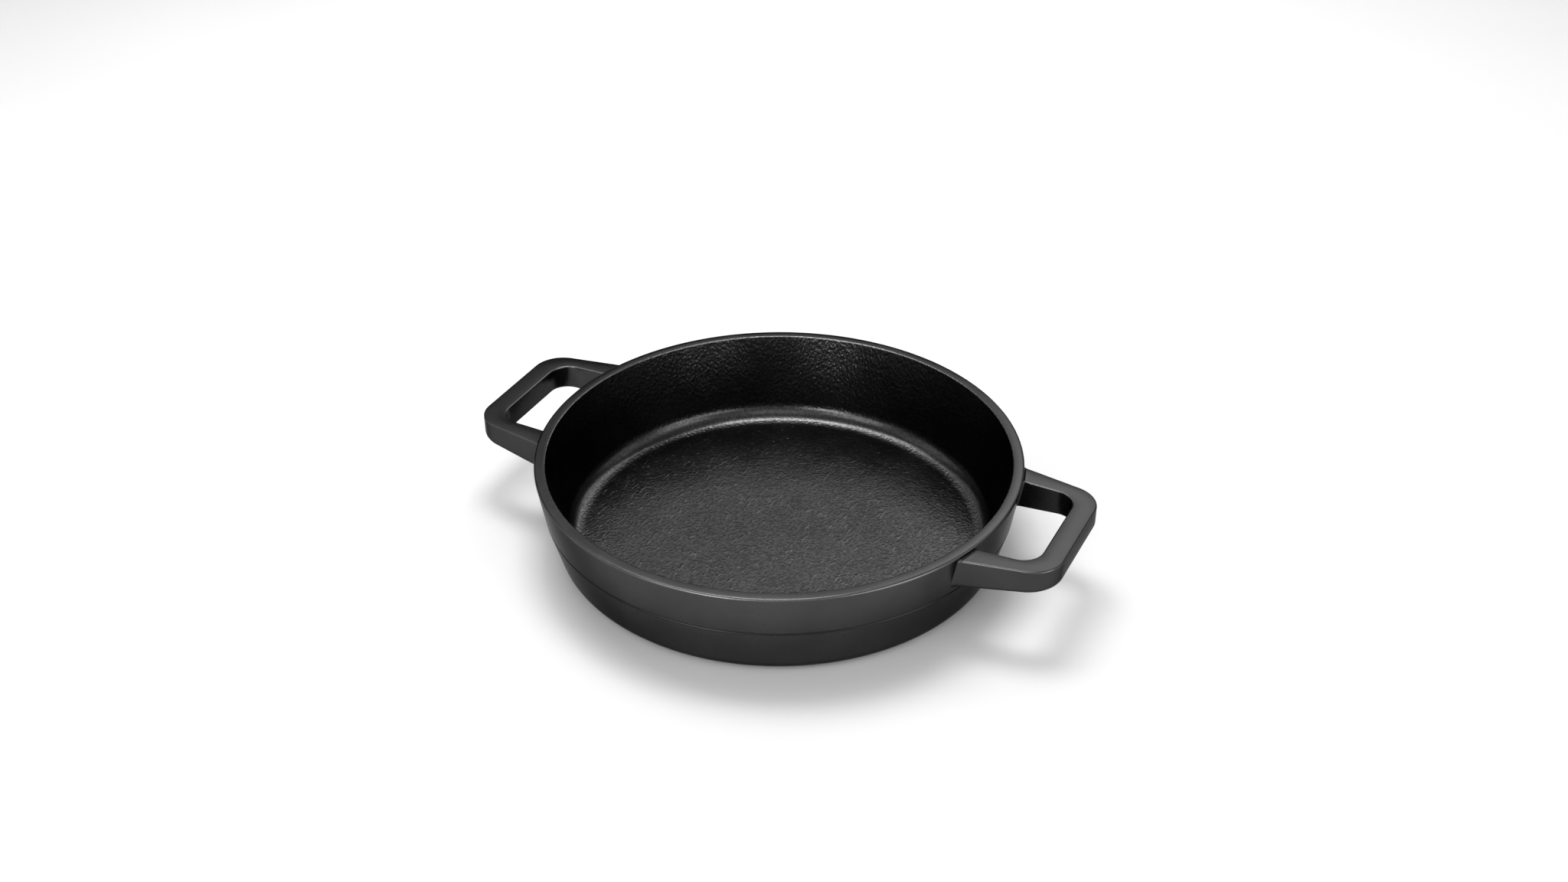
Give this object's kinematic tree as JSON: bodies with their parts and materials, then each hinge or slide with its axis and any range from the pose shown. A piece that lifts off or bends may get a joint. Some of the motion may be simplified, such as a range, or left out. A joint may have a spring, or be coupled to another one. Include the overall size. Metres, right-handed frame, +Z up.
{
  "type": "cast iron pan",
  "caption": "Shallow round cast iron pan with sloping walls, a flat base and a square-cornered loop handle on each side.",
  "frame": {"origin": "centre of the flat base, on the surface that the pan stands on", "axes": "+Z up out of the pan's mouth, +X through the middle of both handles"},
  "size_m": [0.335, 0.2596, 0.0535],
  "materials": {
    "pan_body": "seasoned satin black, rough cast grain inside",
    "handle_left": "seasoned satin black, smooth",
    "handle_right": "seasoned satin black, smooth"
  },
  "bodies": {
    "root": {"pan_body": "pan_body", "handle_left": "handle_left", "handle_right": "handle_right"}
  },
  "joints": []
}
